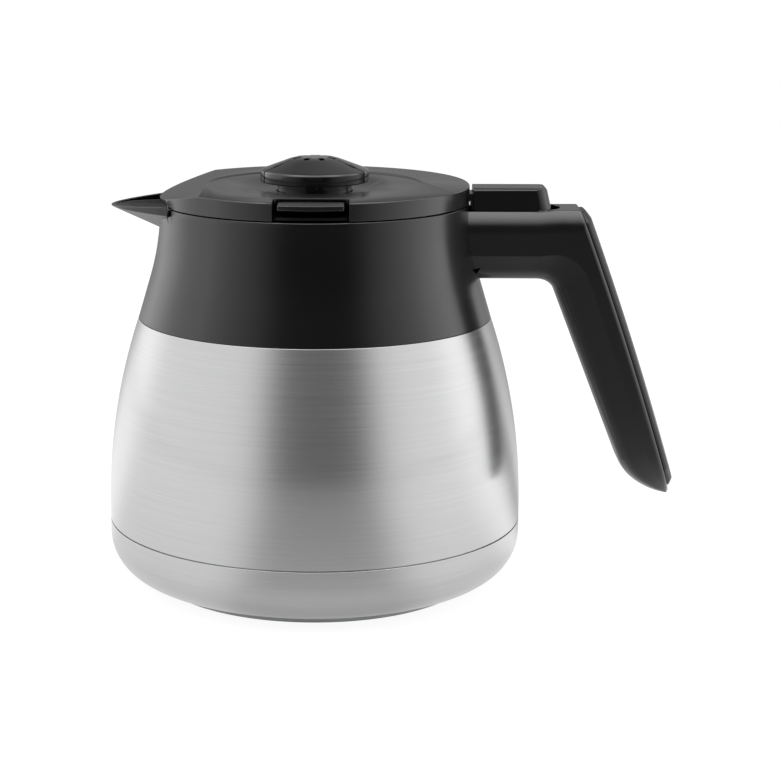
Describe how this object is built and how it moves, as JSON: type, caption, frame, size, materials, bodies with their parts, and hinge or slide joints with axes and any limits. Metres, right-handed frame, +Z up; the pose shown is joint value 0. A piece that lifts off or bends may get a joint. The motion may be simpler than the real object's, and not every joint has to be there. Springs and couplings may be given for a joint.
{
  "type": "thermal carafe",
  "caption": "Double-walled steel thermal carafe with a black collar, spout, open-ended handle, and a hinged lid opened by a thumb lever, with a sprung brew-through valve.",
  "frame": {"origin": "centre of the body's base, on the body's axis and on the surface it stands on", "axes": "+Z up along the body's axis, -X towards the spout, +X towards the handle"},
  "size_m": [0.2201, 0.1604, 0.1652],
  "materials": {
    "steel_body": "circumferentially brushed, satin",
    "steel_inner": "fine satin",
    "foot_rubber": "light grey, matte",
    "collar_black": "satin moulded",
    "handle_black": "satin moulded",
    "lid_grey": "fine-grained matte",
    "gloss_black": "polished",
    "seal_grey": "matte silicone",
    "foam": "closed-cell foam",
    "wire": "bright spring wire",
    "screw_steel": "plain"
  },
  "bodies": {
    "carafe": {"outer_shell": "steel_body", "base_cup": "steel_body", "foot_ring": "foot_rubber", "vacuum_seal": "steel_inner", "inner_flask": "steel_inner", "neck_gasket": "seal_grey", "collar": "collar_black", "pouring_ring": "collar_black", "handle_shell": "handle_black", "handle_cover": "handle_black", "handle_screws": "screw_steel", "hinge_pin": "screw_steel"},
    "lid": {"lid_cover": "lid_grey", "lid_base": "collar_black", "lid_plug": "collar_black", "lid_insulation": "foam", "lid_gasket": "seal_grey", "lid_screws": "screw_steel", "thumb_lever": "gloss_black", "stem_guide": "collar_black", "valve_spring": "wire", "tab_spring_front": "wire", "tab_spring_rear": "wire"},
    "valve": {"valve_dome": "gloss_black", "valve_stem": "screw_steel", "valve_disc": "seal_grey"},
    "front_tab": {"release_tab_front": "lid_grey"},
    "rear_tab": {"release_tab_rear": "lid_grey"}
  },
  "joints": [
    {"name": "lid_hinge", "type": "hinge", "parent": "carafe", "child": "lid", "pos_m": [0.0645, 0, 0.1405], "axis": [0, 1, 0], "range_deg": [0, 45]},
    {"name": "valve_slide", "type": "slide", "parent": "lid", "child": "valve", "axis": [0, 0, -1], "range_m": [0, 0.003], "stiffness_N_per_m": 200, "springref_m": -0.004, "deforming": ["valve_spring"]},
    {"name": "front_tab_slide", "type": "slide", "parent": "lid", "child": "front_tab", "axis": [0, 1, 0], "range_m": [0, 0.0025], "stiffness_N_per_m": 200, "springref_m": -0.002, "deforming": ["tab_spring_front"]},
    {"name": "rear_tab_slide", "type": "slide", "parent": "lid", "child": "rear_tab", "axis": [0, -1, 0], "range_m": [0, 0.0025], "stiffness_N_per_m": 200, "springref_m": -0.002, "deforming": ["tab_spring_rear"]}
  ]
}
